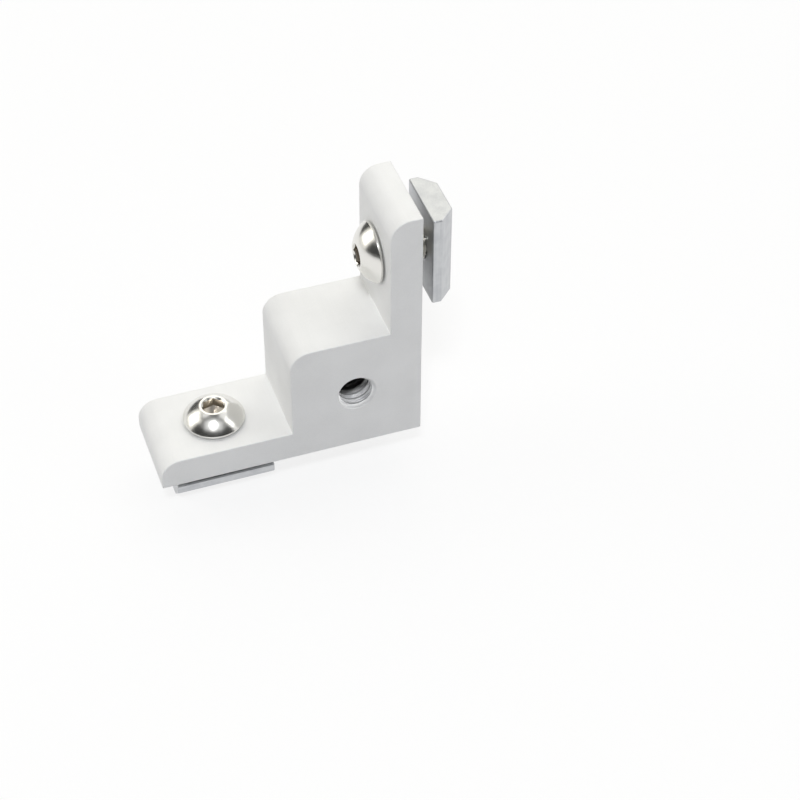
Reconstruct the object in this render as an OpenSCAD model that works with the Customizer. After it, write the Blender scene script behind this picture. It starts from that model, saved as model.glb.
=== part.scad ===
// Inside corner bracket, with the two button screws and two slot nuts that fix it. Its two legs
// stand at a right angle, and a tapped hole runs across the solid block between them.
// Origin: middle of the corner edge where the two mounting faces meet.
// +X runs along the base leg towards the upright, +Z up the upright leg, +Y across the width.

/* [Bracket] */
// Length of each leg, from the corner to its end
leg_length = 40; // [36:0.5:60]
// Thickness of each leg
leg_thickness = 4.8; // [3.5:0.1:7]
// Side of the square block in the corner
block_size = 20; // [17:0.5:24]
// Width of the bracket across its legs
bracket_width = 14; // [12:0.5:18]
// Radius on the rounded outer edge of the block and of each leg's end
outer_radius = 3; // [0.5:0.1:3.4]
// Chamfer that breaks the sharp edges of the mounting faces
edge_break = 0.2; // [0.05:0.05:0.25]

/* [Tapped hole] */
// Distance of the tapped hole's axis from both mounting faces
tap_offset = 10; // [7:0.5:12]
// Diameter of the tapped hole at the crests of its thread
tap_core_d = 5; // [3.3:0.1:6.8]
// Chamfer at both mouths of the tapped hole
tap_chamfer = 0.5; // [0.2:0.05:0.8]

/* [Screws] */
// Distance of each screw's axis from the end of its leg
screw_from_end = 10; // [8:0.5:11]
// Outside diameter of the screw's thread
screw_d = 4.9; // [3.9:0.1:5.9]
// Gap all round between a screw and its hole in the leg
hole_clearance = 0.3; // [0.1:0.05:0.6]
// Diameter of the button head
head_d = 9.2; // [8:0.1:10.5]
// Height of the button head
head_height = 2.75; // [2.4:0.05:3.3]
// Height of the straight rim under the dome
head_rim = 0.6; // [0.2:0.05:0.8]
// Diameter of the flat ring on top of the dome
head_flat_d = 4.5; // [4.2:0.1:5.5]
// Width across the flats of the hexagon socket
socket_width = 3; // [2.5:0.1:3.2]
// Depth of the hexagon socket's straight walls
socket_depth = 1.6; // [1.2:0.05:1.9]
// Chamfer round the socket's mouth, from its flats
socket_chamfer = 0.35; // [0.2:0.05:0.45]
// Chamfer on the tip of the screw
tip_chamfer = 0.5; // [0.2:0.05:0.8]
// Turn of the base screw's hexagon about its own axis, in degrees
base_socket_turn = 15; // [0:5:60]
// Turn of the upright screw's hexagon about its own axis, in degrees
upright_socket_turn = 40; // [0:5:60]

/* [Slot nuts] */
// Length of the nut along its slot
nut_length = 15; // [12:0.5:18]
// Width of the nut across its slot
nut_width = 10.6; // [9:0.1:11.5]
// Thickness of the nut
nut_thickness = 3.6; // [3:0.1:4.5]
// Height of the nut's straight sides, above the slope
nut_side = 1.4; // [1:0.1:2]
// Width of the nut's foot, below the slope
nut_foot_width = 6.2; // [6:0.1:8]
// Thickness of the slot's lip, which the nut clamps against the leg
slot_lip = 1.8; // [1.5:0.1:2.5]
// Play that lets the nut slide under the lip before the screw is tightened
slot_play = 0.3; // [0.25:0.05:0.6]
// Gap all round between the screw and the nut's bore
thread_clearance = 0.05; // [0.02:0.01:0.15]
// Chamfer at both ends of the nut's bore
nut_bore_chamfer = 0.4; // [0.2:0.05:0.6]
// How far the screw's tip stops short of the nut's foot
tip_inset = 0.5; // [0.2:0.1:1]

/* [Hidden] */
$fn = 96;
// How far a cutting shape runs past the face it opens
cut_margin = 1;
hex_sides = 6;
socket_point_angle = 120;
// Base leg, block and upright leg, as rectangles that share the corner
section_sizes = [[leg_length, leg_thickness], [block_size, block_size], [leg_thickness, leg_length]];
screw_at = leg_length - screw_from_end;
leg_hole_d = screw_d + 2 * hole_clearance;
nut_drop = slot_lip + slot_play;
nut_bore_d = screw_d + 2 * thread_clearance;
screw_length = leg_thickness + nut_drop + nut_thickness - tip_inset;
// The dome is part of a sphere that meets the rim and the flat ring
dome_drop = head_d * head_d / 4 + head_rim * head_rim
          - head_flat_d * head_flat_d / 4 - head_height * head_height;
dome_centre = -dome_drop / (2 * (head_height - head_rim));
dome_radius = norm([head_d / 2, head_rim - dome_centre]);
socket_corner_d = socket_width / cos(180 / hex_sides);
socket_point = socket_width / 2 / tan(socket_point_angle / 2);

// What a round takes off an outer edge whose sharp corner is at the origin
module outer_round_cut() {
    difference() {
        translate([-cut_margin, -outer_radius])
            square(outer_radius + cut_margin);
        translate([outer_radius, -outer_radius])
            circle(outer_radius);
    }
}

// What breaks a sharp edge whose corner is at the origin
module edge_break_cut() {
    rotate(45)
        square(edge_break * sqrt(2), center = true);
}

module bracket_section() {
    difference() {
        for (size = section_sizes)
            translate([-size.x, 0])
                square(size);
        for (size = section_sizes)
            translate([-size.x, size.y]) outer_round_cut();
        for (corner = [[-leg_length, 0], [0, 0], [0, leg_length]])
            translate(corner) edge_break_cut();
    }
}

// Stands its children on a leg's mounting face at the screw's axis, with +Z out through the leg
module at_base_leg() {
    translate([-screw_at, 0, 0])
        children();
}

module at_upright_leg() {
    translate([0, 0, screw_at])
        rotate([0, -90, 0])
            children();
}

// What a chamfer takes off a hole's mouth, upwards from the depth where the hole is still its own size
module mouth_cut(hole_d, chamfer) {
    cylinder(d1 = hole_d, d2 = hole_d + 2 * (chamfer + cut_margin), h = chamfer + cut_margin);
}

module screw_hole() {
    translate([0, 0, -cut_margin])
        cylinder(d = leg_hole_d, h = leg_thickness + 2 * cut_margin);
}

// The tapped hole runs right across the block and is countersunk at both ends
module tapped_hole() {
    rotate([90, 0, 0])
        cylinder(d = tap_core_d, h = bracket_width + 2 * cut_margin, center = true);
    for (turn = [-90, 90])
        rotate([turn, 0, 0])
            translate([0, 0, bracket_width / 2 - tap_chamfer])
                mouth_cut(tap_core_d, tap_chamfer);
}

module bracket() {
    color("gainsboro")
        difference() {
            rotate([90, 0, 0])
                linear_extrude(bracket_width, center = true)
                    bracket_section();
            at_base_leg() screw_hole();
            at_upright_leg() screw_hole();
            translate([-tap_offset, 0, tap_offset])
                tapped_hole();
        }
}

module hex_socket() {
    translate([0, 0, head_height - socket_depth])
        cylinder(d = socket_corner_d, h = socket_depth + cut_margin, $fn = hex_sides);
    translate([0, 0, head_height - socket_depth - socket_point])
        cylinder(d1 = 0, d2 = socket_width, h = socket_point);
    translate([0, 0, head_height - socket_chamfer])
        mouth_cut(socket_width, socket_chamfer);
}

// The head's underside seats on the outer face of the leg
module button_screw(socket_turn) {
    color("silver")
        translate([0, 0, leg_thickness])
            difference() {
                union() {
                    intersection() {
                        cylinder(d = head_d, h = head_height);
                        translate([0, 0, dome_centre])
                            sphere(dome_radius);
                    }
                    translate([0, 0, tip_chamfer - screw_length])
                        cylinder(d = screw_d, h = screw_length - tip_chamfer + head_rim);
                    translate([0, 0, -screw_length])
                        cylinder(d1 = screw_d - 2 * tip_chamfer, d2 = screw_d, h = tip_chamfer);
                }
                rotate(socket_turn) hex_socket();
            }
}

// Section of the nut across the slot, with its clamping face at the top
module nut_section() {
    polygon([
        [nut_width / 2, 0], [nut_width / 2, -nut_side], [nut_foot_width / 2, -nut_thickness],
        [-nut_foot_width / 2, -nut_thickness], [-nut_width / 2, -nut_side], [-nut_width / 2, 0]
    ]);
}

module nut_bore() {
    translate([0, 0, -nut_thickness - cut_margin])
        cylinder(d = nut_bore_d, h = nut_thickness + 2 * cut_margin);
    translate([0, 0, -nut_bore_chamfer])
        mouth_cut(nut_bore_d, nut_bore_chamfer);
    translate([0, 0, nut_bore_chamfer - nut_thickness])
        rotate([180, 0, 0])
            mouth_cut(nut_bore_d, nut_bore_chamfer);
}

// The nut hangs on the screw's thread, far enough below the leg to slide under the lip
module slot_nut() {
    color("darkgray")
        translate([0, 0, -nut_drop])
            difference() {
                rotate([90, 0, 90])
                    linear_extrude(nut_length, center = true)
                        nut_section();
                nut_bore();
            }
}

module base_screw() {
    at_base_leg() button_screw(base_socket_turn);
}

module upright_screw() {
    at_upright_leg() button_screw(upright_socket_turn);
}

module base_slot_nut() {
    at_base_leg() slot_nut();
}

module upright_slot_nut() {
    at_upright_leg() slot_nut();
}

bracket();
base_screw();
upright_screw();
base_slot_nut();
upright_slot_nut();
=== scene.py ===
import math

import bmesh
import bpy
from mathutils import Matrix, Vector


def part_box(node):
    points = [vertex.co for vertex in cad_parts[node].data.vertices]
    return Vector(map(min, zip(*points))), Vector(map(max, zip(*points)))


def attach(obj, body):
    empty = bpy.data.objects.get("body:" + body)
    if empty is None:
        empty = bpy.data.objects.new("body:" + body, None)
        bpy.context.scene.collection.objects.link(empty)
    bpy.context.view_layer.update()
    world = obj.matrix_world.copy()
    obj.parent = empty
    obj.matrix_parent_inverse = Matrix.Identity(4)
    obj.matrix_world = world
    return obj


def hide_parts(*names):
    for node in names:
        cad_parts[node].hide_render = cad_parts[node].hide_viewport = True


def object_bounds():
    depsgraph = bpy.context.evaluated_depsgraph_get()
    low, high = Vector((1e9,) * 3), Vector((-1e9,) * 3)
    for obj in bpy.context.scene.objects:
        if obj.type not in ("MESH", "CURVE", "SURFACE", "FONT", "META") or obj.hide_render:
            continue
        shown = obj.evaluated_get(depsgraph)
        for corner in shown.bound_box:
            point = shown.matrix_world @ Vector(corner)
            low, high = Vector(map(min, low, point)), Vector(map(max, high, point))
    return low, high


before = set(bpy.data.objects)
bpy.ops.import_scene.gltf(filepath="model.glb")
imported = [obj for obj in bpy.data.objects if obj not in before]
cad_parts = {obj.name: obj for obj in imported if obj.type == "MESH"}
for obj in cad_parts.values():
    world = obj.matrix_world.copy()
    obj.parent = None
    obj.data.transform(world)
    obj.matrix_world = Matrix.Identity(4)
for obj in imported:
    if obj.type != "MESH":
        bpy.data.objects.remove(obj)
cad_low, cad_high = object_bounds()


# Bracket: one piece sawn from a stepped aluminium extrusion, drilled through both legs and tapped
# right across its solid corner block, then blasted matte and clear anodised. The ends of the legs
# and the block have a round outer edge, and every other edge is only just broken.
mm = 0.001  # in metres: sizes are in millimetres until a finished piece is settled
bracket_low, bracket_high = (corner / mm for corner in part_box("bracket"))
leg_length = bracket_high.z
bracket_width = bracket_high.y - bracket_low.y
leg_thickness = 4.8
block_size = 20.0
outer_radius = 3.0
inner_radius = 0.15
mount_edge = 0.2
side_edge = 0.18
screw_low, screw_high = (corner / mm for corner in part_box("base_screw"))
screw_at = (screw_low.x + screw_high.x) / 2
leg_hole_radius = 2.75
hole_edge = 0.12
tap_place = Vector((-10.0, 0.0, 10.0))
tap_pitch = 1.0
tap_crest = 2.5
tap_root = 3.0
tap_mouth = 0.5
tap_turn = math.radians(-58)
past_face = 1.0
round_sides = 96
thread_sides = 48
thread_rings = 16
outline_steps = 12
edge_steps = 4
least_arc = 0.01
overlap = 0.02
weld = 0.0001
crease = math.radians(32)


def rounded_outline(corners, inset, steps):
    """Points of a closed outline of (across, up, radius) corners, moved inwards by inset."""
    points = []
    for index, (across, up, radius) in enumerate(corners):
        corner = Vector((across, up))
        before = (Vector(corners[index - 1][:2]) - corner).normalized()
        after = (Vector(corners[(index + 1) % len(corners)][:2]) - corner).normalized()
        half_turn = before.angle(after) / 2
        bulge = 1 if after.cross(before) > 0 else -1
        middle = (before + after).normalized() / math.sin(half_turn)
        corner = corner + middle * inset * bulge
        arc_radius = max(radius - inset * bulge, least_arc)
        centre = corner + middle * arc_radius
        start = corner + before * arc_radius / math.tan(half_turn) - centre
        end = corner + after * arc_radius / math.tan(half_turn) - centre
        for step in range(steps + 1):
            points.append(centre + start.slerp(end, step / steps) * arc_radius)
    return points


def edge_rings(length, edge, steps):
    """Places along a bar and insets there that round the rims of both its ends."""
    turns = [math.pi / 2 * step / steps for step in range(steps + 1)]
    end = [(length / 2 - edge + edge * math.sin(turn), edge - edge * math.cos(turn)) for turn in turns]
    return [(-place, inset) for place, inset in reversed(end)] + end


def loft(name, rings):
    """A solid through rings of equally many points, closed at both ends."""
    count = len(rings[0])
    faces = [list(reversed(range(count)))]
    for first in range(0, count * (len(rings) - 1), count):
        for side in range(count):
            here, there = first + side, first + (side + 1) % count
            faces.append([here, there, there + count, here + count])
    faces.append(list(range(count * (len(rings) - 1), count * len(rings))))
    mesh = bpy.data.meshes.new(name)
    mesh.from_pydata([point for ring in rings for point in ring], [], faces)
    piece = bpy.data.objects.new(name, mesh)
    bpy.context.scene.collection.objects.link(piece)
    return piece


def turned(name, profile, sides):
    """A solid turned about Z from a profile of (radius, height) points, from the bottom up."""
    turns = [math.tau * side / sides for side in range(sides)]
    return loft(name, [
        [(radius * math.cos(turn), radius * math.sin(turn), height) for turn in turns]
        for radius, height in profile
    ])


def drill(name, radius, bottom, top, edge):
    """A round cutter up Z that also chamfers the hole's mouths at bottom and top."""
    flare = radius + edge + past_face
    return turned(name, [
        (flare, bottom - past_face), (radius, bottom + edge), (radius, top - edge), (flare, top + past_face)
    ], round_sides)


def thread(name, bottom, top, pitch, crest, root, turn):
    """A threaded rod up Z: one section with a crest, two flanks and a root, twisted along its length."""
    crest_share, flank_share, root_share = 1 / 8, 5 / 16, 1 / 4
    section = []
    for side in range(thread_sides):
        share = side / thread_sides
        fall = (share - crest_share) / flank_share
        rise = (share - crest_share - flank_share - root_share) / flank_share
        depth = min(max(fall, 0), 1) - min(max(rise, 0), 1)
        section.append((crest - depth * (crest - root), math.tau * share))
    rings = []
    for ring in range(round((top - bottom) / pitch * thread_rings) + 1):
        height = bottom + ring * pitch / thread_rings
        twist = math.tau * height / pitch + turn
        rings.append([
            (radius * math.cos(angle + twist), radius * math.sin(angle + twist), height)
            for radius, angle in section
        ])
    return loft(name, rings)


def carve(piece, tool, operation="DIFFERENCE"):
    """Cuts, joins or meets a piece with another solid, which is used up."""
    step = piece.modifiers.new(operation, "BOOLEAN")
    step.operation = operation
    step.object = tool
    step.solver = "EXACT"
    carved = bpy.data.meshes.new_from_object(piece.evaluated_get(bpy.context.evaluated_depsgraph_get()))
    piece.modifiers.clear()
    piece.data = carved
    bpy.data.objects.remove(tool)


def settle(piece, place):
    """Puts a finished piece in its place, in metres, smooth except at its sharp edges."""
    shell = bmesh.new()
    shell.from_mesh(piece.data)
    bmesh.ops.remove_doubles(shell, verts=shell.verts, dist=weld)
    shell.to_mesh(piece.data)
    shell.free()
    piece.data.transform(Matrix.Scale(mm, 4))
    piece.data.shade_smooth()
    piece.data.set_sharp_from_angle(angle=crease)
    even = piece.modifiers.new("even_normals", "WEIGHTED_NORMAL")
    even.keep_sharp = True
    piece.matrix_world = Matrix.Translation(place.to_translation() * mm) @ place.to_3x3().to_4x4()


class Wire:
    """A shader socket that takes part in an expression: each step on values adds a Math node."""

    def __init__(self, socket):
        self.socket = socket
        self.tree = socket.id_data

    @classmethod
    def node(cls, tree, kind, settings, values, output=0):
        made = tree.nodes.new(kind)
        for name, value in settings.items():
            setattr(made, name, value)
        for name, value in values.items():
            if isinstance(value, cls):
                tree.links.new(value.socket, made.inputs[name])
            else:
                made.inputs[name].default_value = value
        return cls(made.outputs[output]) if made.outputs else None

    def maths(self, operation, *values):
        return Wire.node(self.tree, "ShaderNodeMath", {"operation": operation}, dict(enumerate(values)))

    def __add__(self, other):
        return self.maths("ADD", self, other)

    __radd__ = __add__

    def __mul__(self, other):
        return self.maths("MULTIPLY", self, other)

    __rmul__ = __mul__

    def __sub__(self, other):
        return self.maths("SUBTRACT", self, other)

    def __rsub__(self, other):
        return self.maths("SUBTRACT", other, self)

    def __abs__(self):
        return self.maths("ABSOLUTE", self)

    def between(self, low, high):
        """0 up to low, 1 from high on, and smooth between them."""
        return Wire.node(self.tree, "ShaderNodeMapRange", {"interpolation_type": "SMOOTHSTEP"},
                         {"Value": self, "From Min": low, "From Max": high})

    def tint(self, first, second):
        """The first colour where this is 0, the second where it is 1."""
        colour_sockets = {0: self, 6: first, 7: second}
        return Wire.node(self.tree, "ShaderNodeMix", {"data_type": "RGBA"}, colour_sockets, output=2)


def own_place(tree):
    """Position on the piece, in metres, in the piece's own frame."""
    return Wire.node(tree, "ShaderNodeTexCoord", {}, {}, "Object")


def noise(tree, place, size, detail, stretch=(1, 1, 1)):
    """Noise whose patches are about size metres across, longer along a stretched axis."""
    spread = Wire.node(tree, "ShaderNodeVectorMath", {"operation": "DIVIDE"}, {0: place, 1: stretch})
    return Wire.node(tree, "ShaderNodeTexNoise", {},
                     {"Vector": spread, "Scale": 1 / size, "Detail": detail})


def distance(tree, place, axes):
    """How far a place is from the origin, counted along the axes that are 1."""
    along = Wire.node(tree, "ShaderNodeVectorMath", {"operation": "MULTIPLY"}, {0: place, 1: axes})
    return Wire.node(tree, "ShaderNodeVectorMath", {"operation": "LENGTH"}, {0: along}, "Value")


def bumps(tree, height, rise, strength):
    """The direction of a surface with bumps that rise so many metres where height is 1."""
    return Wire.node(tree, "ShaderNodeBump", {}, {"Strength": strength, "Distance": rise, "Height": height})


def finish_with(tree, values):
    """Ends a material's tree in one shader with these values and links."""
    shader = Wire.node(tree, "ShaderNodeBsdfPrincipled", {}, values)
    Wire.node(tree, "ShaderNodeOutputMaterial", {}, {"Surface": shader})


def new_finish(name):
    """An empty material and its node tree."""
    material = bpy.data.materials.new(name)
    material.use_nodes = True
    material.node_tree.nodes.clear()
    return material, material.node_tree


bracket_corners = [
    (0, 0, mount_edge),
    (0, leg_length, mount_edge),
    (-leg_thickness, leg_length, outer_radius),
    (-leg_thickness, block_size, inner_radius),
    (-block_size, block_size, outer_radius),
    (-block_size, leg_thickness, inner_radius),
    (-leg_length, leg_thickness, outer_radius),
    (-leg_length, 0, mount_edge),
]
bracket = loft("bracket_body", [
    [(across, -depth, up) for across, up in rounded_outline(bracket_corners, inset, outline_steps)]
    for depth, inset in edge_rings(bracket_width, side_edge, edge_steps)
])
leg_seats = {
    "base": Matrix.Translation((screw_at, 0, 0)),
    "upright": Matrix.Translation((0, 0, -screw_at)) @ Matrix.Rotation(-math.pi / 2, 4, "Y"),
}
for seat in leg_seats.values():
    leg_drill = drill("leg_drill", leg_hole_radius, 0, leg_thickness, hole_edge)
    leg_drill.matrix_world = seat
    carve(bracket, leg_drill)
across_block = Matrix.Translation(tap_place) @ Matrix.Rotation(math.pi / 2, 4, "X")
block_reach = bracket_width / 2
tap_drill = drill("tap_drill", tap_crest, -block_reach, block_reach, tap_mouth)
tap_drill.matrix_world = across_block
carve(bracket, tap_drill)
tap_reach = block_reach + past_face
tap = thread("tap", -tap_reach, tap_reach, tap_pitch, tap_root, tap_crest - overlap, tap_turn)
tap.matrix_world = across_block
carve(bracket, tap)
settle(bracket, Matrix.Identity(4))

grain_size = 0.12 * mm
cloud_size = 7 * mm
drawn_size = 0.3 * mm
drawn_along = (1, 60, 1)
ring_line_size = 0.22 * mm
ring_line_low, ring_line_high = 0.3, 0.46
tone_low, tone_high = 0.3, 0.7
blur = 0.05 * mm
cut_from, cut_full = 0.25 * mm, 0.5 * mm
unlit_from, unlit_full = 3.1 * mm, 3.9 * mm
blasted_dark = (0.82, 0.82, 0.817, 1)
blasted_light = (0.88, 0.88, 0.877, 1)
ring_line_metal = (0.72, 0.72, 0.73, 1)
cut_metal = (1, 1, 1, 1)
# unlit_metal is a painted shadow colour for the deep part of the tapped wall
unlit_metal = (0.12, 0.12, 0.12, 1)
anodised, tree = new_finish("matte_anodised_aluminium")
place = own_place(tree)
grain = noise(tree, place, grain_size, detail=3)
cloud = noise(tree, place, cloud_size, detail=3)
drawn = noise(tree, place, drawn_size, detail=2, stretch=drawn_along)
tone = 0.55 * cloud + 0.35 * grain + 0.1 * drawn
from_tap = Wire.node(tree, "ShaderNodeVectorMath", {"operation": "SUBTRACT"}, {0: place, 1: tap_place * mm})
radius = distance(tree, from_tap, (1, 0, 1))
depth = block_reach * mm - abs(Wire.node(tree, "ShaderNodeSeparateXYZ", {}, {0: place}, "Y"))
cut = depth.between(cut_from, cut_full) * (1 - radius.between(tap_root * mm, tap_root * mm + blur))
down_tap = Wire.node(tree, "ShaderNodeCombineXYZ", {}, {0: radius, 1: depth})
# Fine darker rings along the tapped wall, from noise over its radius and depth
ring_lines = noise(tree, down_tap, ring_line_size, detail=1).between(ring_line_low, ring_line_high)
ringed_cut = ring_lines.tint(ring_line_metal, cut_metal)
# Painted shadow: past 3.1 mm into the block the tapped wall turns near black, where shade falls deep in the
# hole
bare_with_painted_shadow = depth.between(unlit_from, unlit_full).tint(ringed_cut, unlit_metal)
blasted = tone.between(tone_low, tone_high).tint(blasted_dark, blasted_light)
finish_with(tree, {
    "Base Color": cut.tint(blasted, bare_with_painted_shadow),
    "Metallic": 0.35 + 0.3 * cut,
    "Roughness": 0.56 + 0.12 * grain - 0.24 * cut,
    "Normal": bumps(tree, grain, rise=0.04 * mm, strength=0.12),
})
bracket.data.materials.append(anodised)
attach(bracket, "root")
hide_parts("bracket")


# Button screws: two M5 screws of polished stainless steel, with a low domed head forged round a
# hexagon socket and a rolled thread. Each seats on the outer face of one leg and is turned into
# the nut behind it.
head_top = screw_high.z
head_height = head_top - leg_thickness
head_radius = (screw_high.x - screw_low.x) / 2
head_rim = 0.6
head_ring = 2.08
seat_radius = 3.8
seat_gap = 0.18
seat_round = 0.2
rim_round = 0.12
ring_round = 0.1
socket_flats = 3.0
socket_depth = 1.6
socket_mouth = 0.27
socket_point_angle = math.radians(120)
socket_sides = 6
punch_tip = 0.02
cone_start = 0.3
screw_tip = screw_low.z
screw_pitch = 0.8
screw_crest = 2.45
screw_root = 2.0
tip_chamfer = 0.5
socket_turns = {"base": math.radians(15), "upright": math.radians(40)}
seat_steps = 6
round_steps = 5
dome_steps = 20


def arc(radius, height, size, start, end, steps):
    """Points of (radius, height) on a round of the given size, between two angles."""
    turns = [start + (end - start) * step / steps for step in range(steps + 1)]
    return [(radius + size * math.cos(turn), height + size * math.sin(turn)) for turn in turns]


def button_head_profile():
    """Underside round, rim, dome and top ring of the head, which join without a corner."""
    reach = head_radius ** 2 + head_rim ** 2 - head_ring ** 2 - head_height ** 2
    dome_centre = leg_thickness - reach / (2 * (head_height - head_rim))
    dome = math.hypot(head_radius, leg_thickness + head_rim - dome_centre)
    rim_at = head_radius - rim_round
    rim_up = math.sqrt((dome - rim_round) ** 2 - rim_at ** 2)
    rim_turn = math.atan2(rim_up, rim_at)
    ring_up = head_top - ring_round - dome_centre
    ring_at = math.sqrt((dome - ring_round) ** 2 - ring_up ** 2)
    ring_turn = math.atan2(ring_up, ring_at)
    foot_up = leg_thickness + seat_gap + seat_round
    return (
        [(seat_radius, leg_thickness)]
        + arc(head_radius - seat_round, foot_up, seat_round, -math.pi / 2, 0, seat_steps)
        + arc(rim_at, dome_centre + rim_up, rim_round, 0, rim_turn, round_steps)
        + arc(0, dome_centre, dome, rim_turn, ring_turn, dome_steps)[1:-1]
        + arc(ring_at, dome_centre + ring_up, ring_round, ring_turn, math.pi / 2, round_steps)
    )


smear_size = 1.2 * mm
polish_size = 0.06 * mm
steel_dark = (0.78, 0.77, 0.735, 1)
steel_light = (0.82, 0.81, 0.775, 1)
# The socket's walls and floor are coloured darker and browner than the dome
socket_tone = (0.52, 0.48, 0.42, 1)
seat_up = leg_thickness * mm
lip_up = (head_top - socket_mouth) * mm
socket_edge = 1.75 * mm
polished, tree = new_finish("polished_stainless_steel")
place = own_place(tree)
radius = distance(tree, place, (1, 1, 0))
height = Wire.node(tree, "ShaderNodeSeparateXYZ", {}, {0: place}, "Z")
in_head = height.between(seat_up, seat_up + blur) * (1 - height.between(lip_up, lip_up + blur))
in_socket = in_head * (1 - radius.between(socket_edge, socket_edge + blur))
smear = noise(tree, place, smear_size, detail=4)
fine = noise(tree, place, polish_size, detail=2)
finish_with(tree, {
    "Base Color": in_socket.tint(smear.tint(steel_dark, steel_light), socket_tone),
    "Metallic": 1.0,
    "Roughness": 0.17 + 0.06 * smear + 0.03 * fine + 0.08 * in_socket,
    "Normal": bumps(tree, fine, rise=0.02 * mm, strength=0.04),
})

blank_radius = screw_crest + overlap
socket_floor = head_top - socket_depth
socket_corner = socket_flats / math.sqrt(3)
socket_point = socket_flats / 2 / math.tan(socket_point_angle / 2)
for leg, seat in leg_seats.items():
    screw = thread(leg + "_button_screw", screw_tip - past_face, leg_thickness + head_rim / 2,
                   screw_pitch, screw_crest, screw_root, turn=0)
    blank = turned("blank", [
        (screw_crest - tip_chamfer, screw_tip), (screw_crest, screw_tip + tip_chamfer),
        (blank_radius, screw_tip + tip_chamfer + overlap), (blank_radius, leg_thickness + head_rim)
    ], round_sides)
    carve(screw, blank, "INTERSECT")
    carve(screw, turned("button_head", button_head_profile(), round_sides), "UNION")
    carve(screw, turned("socket_punch", [
        (punch_tip, socket_floor - socket_point), (socket_corner, socket_floor),
        (socket_corner, head_top + past_face)
    ], socket_sides))
    carve(screw, turned("mouth_chamfer", [
        (socket_flats / 2 - cone_start, head_top - socket_mouth - cone_start),
        (socket_flats / 2 + socket_mouth + past_face, head_top + past_face)
    ], round_sides))
    settle(screw, seat @ Matrix.Rotation(socket_turns[leg], 4, "Z"))
    screw.data.materials.append(polished)
    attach(screw, "root")
    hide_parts(leg + "_screw")


# Slot nuts: two zinc-plated steel nuts milled from bar, with flat shoulders and sloping flanks, and
# tapped M5 through the middle. Each hangs on its screw, ready to be drawn up against the leg.
nut_low, nut_high = (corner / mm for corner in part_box("base_slot_nut"))
nut_length = nut_high.x - nut_low.x
nut_half_width = nut_high.y
nut_side = 1.4
nut_half_foot = 3.1
nut_round = 0.3
nut_edge = 0.25
nut_crest = 2.07
nut_root = 2.5
nut_mouth = 0.7
thread_play = math.radians(0.6)
nut_outline_steps = 6

mottle_size = 1.6 * mm
milled_size = 0.15 * mm
milled_along = (40, 1, 1)
pit_size = 0.08 * mm
zinc_dark = (0.48, 0.49, 0.51, 1)
zinc_light = (0.6, 0.61, 0.62, 1)
plated, tree = new_finish("zinc_plated_steel")
place = own_place(tree)
mottle = noise(tree, place, mottle_size, detail=4)
milled = noise(tree, place, milled_size, detail=2, stretch=milled_along)
pits = noise(tree, place, pit_size, detail=2)
tone = 0.6 * mottle + 0.4 * milled
finish_with(tree, {
    "Base Color": tone.between(tone_low, tone_high).tint(zinc_dark, zinc_light),
    "Metallic": 1.0,
    "Roughness": 0.26 + 0.12 * mottle + 0.06 * pits,
    "Normal": bumps(tree, milled, rise=0.04 * mm, strength=0.1),
})

nut_corners = [
    (nut_half_width, nut_high.z, nut_round),
    (-nut_half_width, nut_high.z, nut_round),
    (-nut_half_width, nut_high.z - nut_side, nut_round),
    (-nut_half_foot, nut_low.z, nut_round),
    (nut_half_foot, nut_low.z, nut_round),
    (nut_half_width, nut_high.z - nut_side, nut_round),
]
for leg, seat in leg_seats.items():
    nut = loft(leg + "_tapped_nut", [
        [(along, across, up) for across, up in rounded_outline(nut_corners, inset, nut_outline_steps)]
        for along, inset in edge_rings(nut_length, nut_edge, edge_steps)
    ])
    carve(nut, drill("nut_drill", nut_crest, nut_low.z, nut_high.z, nut_mouth))
    carve(nut, thread("nut_tap", nut_low.z - past_face, nut_high.z + past_face,
                      screw_pitch, nut_root, nut_crest - overlap, socket_turns[leg] + thread_play))
    settle(nut, seat)
    nut.data.materials.append(plated)
    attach(nut, "root")
    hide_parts(leg + "_slot_nut")


# Studio: a white paper floor in a white room, lit by soft boxes behind the part, to its left, above
# the camera and to its right. Dark and grey cards hang behind the boxes and round the front, and
# polished steel shows them as dark bands.
floor_size = 8.0
floor_white = 0.8
shadow_reach = 0.3
plain_from = 1.2
dim_paper = (0.5, 0.505, 0.52, 1)
pale_paper = (0.98, 0.98, 0.98, 1)
dim_room = (0.2, 0.2, 0.2, 1)
plain_white = (1, 1, 1, 1)
warm_light = (1, 0.985, 0.92)
cream_light = (1, 0.99, 0.94)
cool_light = (0.95, 0.97, 1)
white_light = (1, 1, 1)
lamp_reach = 1.6
card_reach = 2.0


def bearing(azimuth, elevation):
    """Direction from the part, in degrees: azimuth 0 is towards the front and 90 to the right."""
    turn, rise = math.radians(azimuth), math.radians(elevation)
    return Vector((math.sin(turn) * math.cos(rise), -math.cos(turn) * math.cos(rise), math.sin(rise)))


def soft_box(name, azimuth, elevation, width, height, level, colour):
    """A rectangular lamp that is width by height degrees large, as bright as level times white."""
    lamp = bpy.data.lights.new(name, "AREA")
    lamp.shape = "RECTANGLE"
    lamp.size = 2 * lamp_reach * math.tan(math.radians(width) / 2)
    lamp.size_y = 2 * lamp_reach * math.tan(math.radians(height) / 2)
    lamp.energy = level * math.pi * lamp.size * lamp.size_y
    lamp.color = colour
    holder = bpy.data.objects.new(name, lamp)
    holder.location = bearing(azimuth, elevation) * lamp_reach
    holder.rotation_euler = bearing(azimuth, elevation).to_track_quat("Z", "Y").to_euler()
    bpy.context.scene.collection.objects.link(holder)


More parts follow.
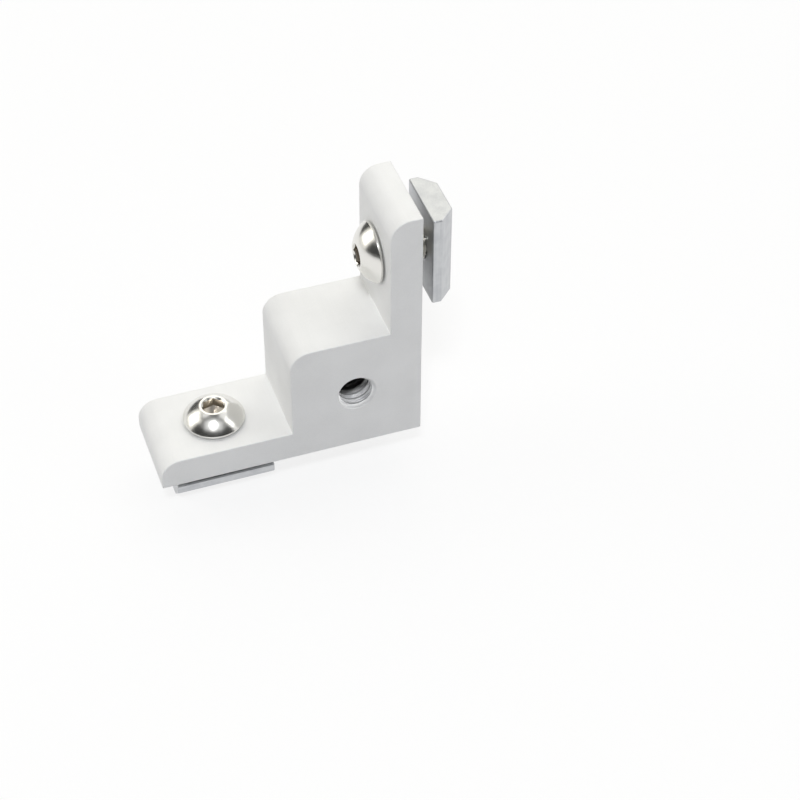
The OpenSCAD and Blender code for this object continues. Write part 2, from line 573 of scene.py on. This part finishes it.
def card(name, azimuths, elevations, grey):
    """A card of matte grey, curved round the part between two azimuths and two elevations.

    Only light and reflections meet it: the camera looks through it.
    """
    steps = 12
    rows = []
    for row in range(steps + 1):
        rise = elevations[0] + (elevations[1] - elevations[0]) * row / steps
        turns = [azimuths[0] + (azimuths[1] - azimuths[0]) * column / steps for column in range(steps + 1)]
        rows.append([bearing(turn, rise) * card_reach for turn in turns])
    faces = []
    for row in range(steps):
        for column in range(steps):
            first = row * (steps + 1) + column
            faces.append([first, first + 1, first + steps + 2, first + steps + 1])
    mesh = bpy.data.meshes.new(name)
    mesh.from_pydata([point for row in rows for point in row], [], faces)
    made = bpy.data.objects.new(name, mesh)
    bpy.context.scene.collection.objects.link(made)
    paper, tree = new_finish(name)
    finish_with(tree, {"Base Color": (grey, grey, grey, 1), "Roughness": 0.9})
    mesh.materials.append(paper)
    made.visible_camera = False


def in_sight(tree):
    """1 where the camera sees a surface, straight or in a reflection, and 0 where it only lights others."""
    camera_ray, glossy_ray, clear_ray = (
        Wire.node(tree, "ShaderNodeLightPath", {}, {}, f"Is {kind} Ray")
        for kind in ("Camera", "Glossy", "Transmission")
    )
    return camera_ray.maths("MAXIMUM", camera_ray, camera_ray.maths("MAXIMUM", glossy_ray, clear_ray))


floor_mesh = bpy.data.meshes.new("floor")
reach = floor_size / 2
floor_corners = [(-reach, -reach, 0), (reach, -reach, 0), (reach, reach, 0), (-reach, reach, 0)]
floor_mesh.from_pydata(floor_corners, [], [(0, 1, 2, 3)])
floor = bpy.data.objects.new("floor", floor_mesh)
floor.location.z = cad_low.z
bpy.context.scene.collection.objects.link(floor)
paper, tree = new_finish("white_floor")
dim = Wire.node(tree, "ShaderNodeBsdfDiffuse", {}, {"Color": dim_paper})
pale = Wire.node(tree, "ShaderNodeBsdfDiffuse", {}, {"Color": pale_paper})
white = Wire.node(tree, "ShaderNodeEmission", {}, {"Color": plain_white, "Strength": 1.0})
far_off = distance(tree, own_place(tree), (1, 1, 0)).between(shadow_reach, plain_from)
plain = floor_white + (1 - floor_white) * far_off
bright = Wire.node(tree, "ShaderNodeMixShader", {}, {0: plain, 1: pale, 2: white})
sheet = Wire.node(tree, "ShaderNodeMixShader", {}, {0: in_sight(tree), 1: dim, 2: bright})
Wire.node(tree, "ShaderNodeOutputMaterial", {}, {"Surface": sheet})
floor_mesh.materials.append(paper)

soft_box("back_box", azimuth=160, elevation=45, width=70, height=50, level=1.46, colour=warm_light)
soft_box("left_box", azimuth=-120, elevation=27, width=46, height=52, level=0.84, colour=cream_light)
soft_box("left_core", azimuth=-119, elevation=28, width=28, height=32, level=1.5, colour=cream_light)
soft_box("front_box", azimuth=-20, elevation=55, width=60, height=32, level=0.46, colour=cool_light)
soft_box("front_glow", azimuth=-22, elevation=59, width=18, height=12, level=2.2, colour=cool_light)
soft_box("front_core", azimuth=-21, elevation=57, width=8, height=5, level=88.0, colour=cool_light)
soft_box("right_box", azimuth=62, elevation=40, width=16, height=30, level=1.9, colour=white_light)
card("front_card", azimuths=(-98, 52), elevations=(3, 37), grey=0.05)
card("front_left_card", azimuths=(-98, -30), elevations=(37, 76), grey=0.5)
card("front_right_card", azimuths=(-12, 52), elevations=(37, 76), grey=0.5)
card("top_card", azimuths=(-180, 180), elevations=(76, 90), grey=0.25)
card("left_card", azimuths=(-178, -98), elevations=(-0.1, 56), grey=0.06)
card("back_card", azimuths=(120, 200), elevations=(14, 76), grey=0.1)

world = bpy.data.worlds.new("pale_room")
bpy.context.scene.world = world
world.use_nodes = True
tree = world.node_tree
tree.nodes.clear()
dim = Wire.node(tree, "ShaderNodeBackground", {}, {"Color": dim_room, "Strength": 1.0})
white = Wire.node(tree, "ShaderNodeBackground", {}, {"Color": plain_white, "Strength": 1.0})
walls = Wire.node(tree, "ShaderNodeMixShader", {}, {0: in_sight(tree), 1: dim, 2: white})
Wire.node(tree, "ShaderNodeOutputWorld", {}, {"Surface": walls})


# Camera: a long lens at the photograph's angle, above and a little to the left of the front. Its
# place, turn and focal length were fitted to the bracket's edges.
view_azimuth = -19.526
view_elevation = 43.521
view_roll = math.radians(0.345)
view_place = Vector((-79.13, -220.74, 221.96)) * mm
lens = bpy.data.cameras.new("camera")
lens.sensor_width = 36.0
lens.lens = 94.97
camera = bpy.data.objects.new("camera", lens)
camera.rotation_mode = "QUATERNION"
camera.rotation_quaternion = (
    (-bearing(view_azimuth, view_elevation)).to_track_quat("-Z", "Y")
    @ Matrix.Rotation(view_roll, 3, "Z").to_quaternion()
)
camera.location = view_place
bpy.context.scene.collection.objects.link(camera)
bpy.context.scene.camera = camera
bpy.context.scene.view_settings.view_transform = "Standard"
